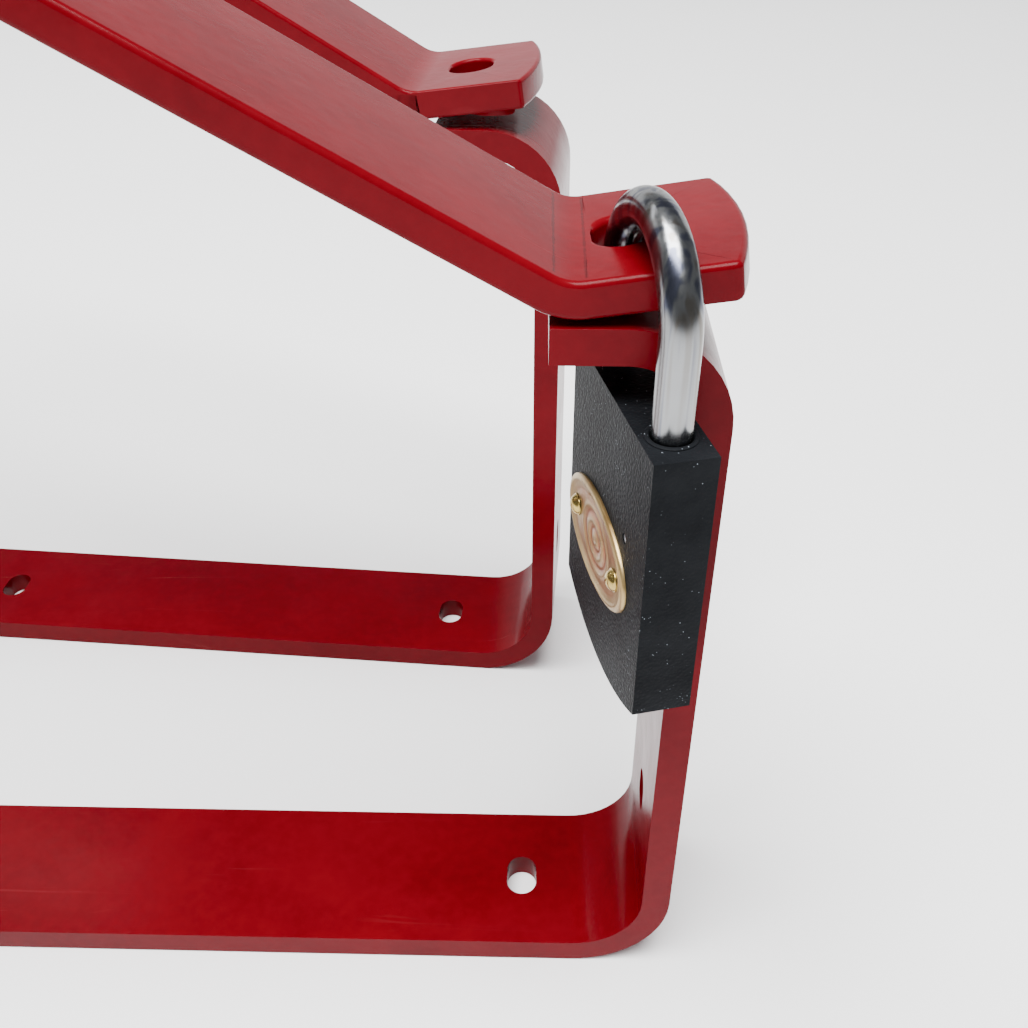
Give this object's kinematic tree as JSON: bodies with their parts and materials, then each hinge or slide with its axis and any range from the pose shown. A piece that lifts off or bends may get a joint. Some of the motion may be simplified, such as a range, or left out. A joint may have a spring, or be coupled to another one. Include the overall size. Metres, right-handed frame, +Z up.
{
  "type": "lockable wall bracket pair",
  "caption": "Wall brackets bent from flat bar, each an open hook closed by a sloping hinged arm; a small padlock on its shackle holds one arm shut.",
  "frame": {"origin": "centre of the pair's footprint on the bench, at the underside of the bottom arms", "axes": "+X points out from the wall, +Y runs along the wall from the front bracket to the rear one, +Z is up"},
  "size_m": [0.312, 0.1504, 0.2959],
  "materials": {
    "red_powder_coat": "glossy powder coat",
    "bronze": "plain",
    "zinc_steel": "zinc plated",
    "black_hammered": "wrinkled black enamel",
    "chrome_steel": "polished",
    "badge_metal": "pressed, satin",
    "rivet_brass": "dull",
    "lock_brass": "machined",
    "inner_steel": "plain"
  },
  "bodies": {
    "front_bracket": {"front_frame": "red_powder_coat", "front_hinge_ears": "red_powder_coat", "front_hinge_bolt": "zinc_steel", "front_hinge_washers": "zinc_steel", "front_hinge_nut": "zinc_steel"},
    "front_locking_arm": {"front_arm": "red_powder_coat", "front_arm_tube": "red_powder_coat", "front_arm_bush": "bronze"},
    "rear_bracket": {"rear_frame": "red_powder_coat", "rear_hinge_ears": "red_powder_coat", "rear_hinge_bolt": "zinc_steel", "rear_hinge_washers": "zinc_steel", "rear_hinge_nut": "zinc_steel"},
    "rear_locking_arm": {"rear_arm": "red_powder_coat", "rear_arm_tube": "red_powder_coat", "rear_arm_bush": "bronze"},
    "padlock": {"lock_body": "black_hammered", "lock_badge": "badge_metal", "lock_badge_rivets": "rivet_brass", "lock_driver_pins": "inner_steel", "lock_pin_springs": "inner_steel", "lock_latch_spring": "inner_steel", "lock_shackle_spring": "inner_steel", "lock_retaining_pin": "inner_steel"},
    "padlock_shackle": {"lock_shackle": "chrome_steel"},
    "key_plug": {"lock_plug": "lock_brass", "lock_cam": "inner_steel", "lock_key_pins": "lock_brass"},
    "latch": {"lock_latch": "inner_steel"}
  },
  "joints": [
    {"name": "front_arm_hinge", "type": "hinge", "parent": "front_bracket", "child": "front_locking_arm", "pos_m": [-0.12112, -0.04715, 0.28186], "axis": [0, -1, 0], "range_deg": [0, 0.1]},
    {"name": "rear_bracket_place", "type": "slide", "parent": "front_bracket", "child": "rear_bracket", "axis": [0, 1, 0], "range_m": [0, 0.4]},
    {"name": "rear_arm_hinge", "type": "hinge", "parent": "rear_bracket", "child": "rear_locking_arm", "pos_m": [-0.1405, 0.05023, 0.28186], "axis": [-0.0698, -0.9976, 0], "range_deg": [0, 110]},
    {"name": "padlock_turn", "type": "hinge", "parent": "front_locking_arm", "child": "padlock", "pos_m": [0.14012, -0.04633, 0.102], "axis": [0, 0, -1], "range_deg": [0, 30]},
    {"name": "key_turn", "type": "hinge", "parent": "padlock", "child": "key_plug", "pos_m": [0.1429, -0.05749, 0.082], "axis": [0, 0, 1], "range_deg": [0, 90]},
    {"name": "shackle_lift", "type": "slide", "parent": "padlock", "child": "padlock_shackle", "axis": [0, 0, 1], "range_m": [0, 0.007]},
    {"name": "latch_slide", "type": "slide", "parent": "padlock", "child": "latch", "axis": [0.2419, -0.9703, 0], "range_m": [0, 0.0024]}
  ],
  "couplings": [
    {"joint": "key_turn", "follows": "shackle_lift", "rad_per_m": 224.4},
    {"joint": "latch_slide", "follows": "shackle_lift", "ratio": 0.34286}
  ]
}
